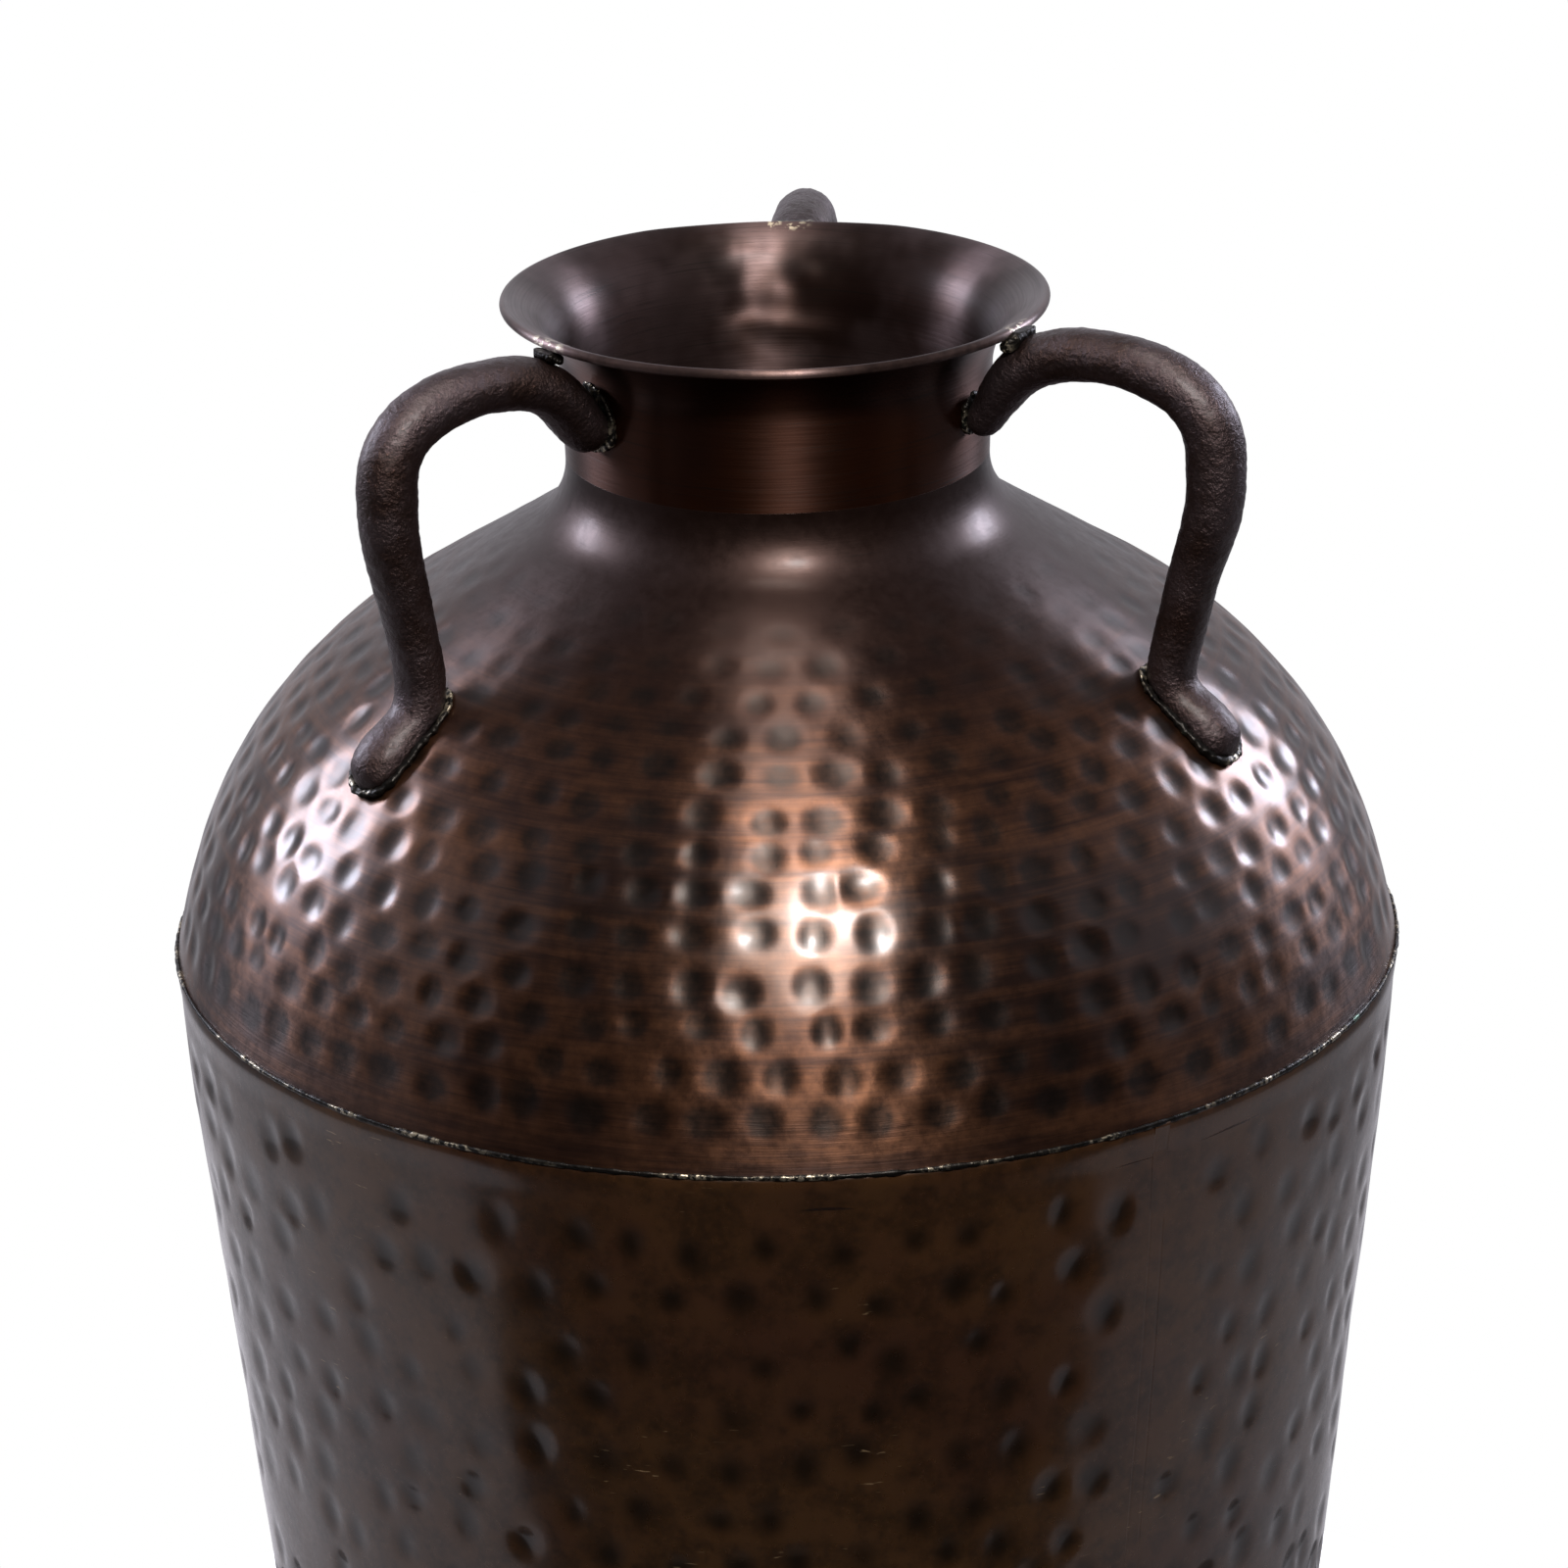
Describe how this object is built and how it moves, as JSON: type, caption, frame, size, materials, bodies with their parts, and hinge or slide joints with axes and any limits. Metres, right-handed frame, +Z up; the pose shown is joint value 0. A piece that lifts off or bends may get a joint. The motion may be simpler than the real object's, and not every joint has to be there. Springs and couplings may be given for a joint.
{
  "type": "urn vase",
  "caption": "Tall urn vase of hammered sheet metal with a tapering body, a domed shoulder, a flared wired lip and curved handles between the neck and the shoulder.",
  "frame": {"origin": "centre of the underside of the base, on the floor", "axes": "+Z up along the vase's axis; the side that faces the picture's viewer faces -Y, with +X to the viewer's right"},
  "size_m": [0.363, 0.363, 0.6107],
  "materials": {
    "hammered_sheet": "hammered sheet with a dark brown bronze patina, copper showing on the ridges",
    "spun_sheet": "spun sheet with a dark brown bronze patina and fine turning lines",
    "wire": "plain drawn wire",
    "braze": "braze metal, part bright and part darkened",
    "braze_seam": "filed flush and patinated with the sheet",
    "base_sheet": "dark patinated sheet, worn where it stands",
    "casting": "sand-cast surface, near black patina"
  },
  "bodies": {
    "root": {"shoulder_dome": "hammered_sheet", "neck_collar": "spun_sheet", "lip_wire": "wire", "neck_joint_braze": "braze", "body_shell": "hammered_sheet", "side_seam_braze": "braze_seam", "girth_seam_braze": "braze", "base_pan": "base_sheet", "base_joint_braze": "braze", "left_handle": "casting", "left_handle_neck_braze": "braze", "left_handle_foot_braze": "braze", "right_handle": "casting", "right_handle_neck_braze": "braze", "right_handle_foot_braze": "braze", "back_handle": "casting", "back_handle_neck_braze": "braze", "back_handle_foot_braze": "braze"}
  },
  "joints": []
}
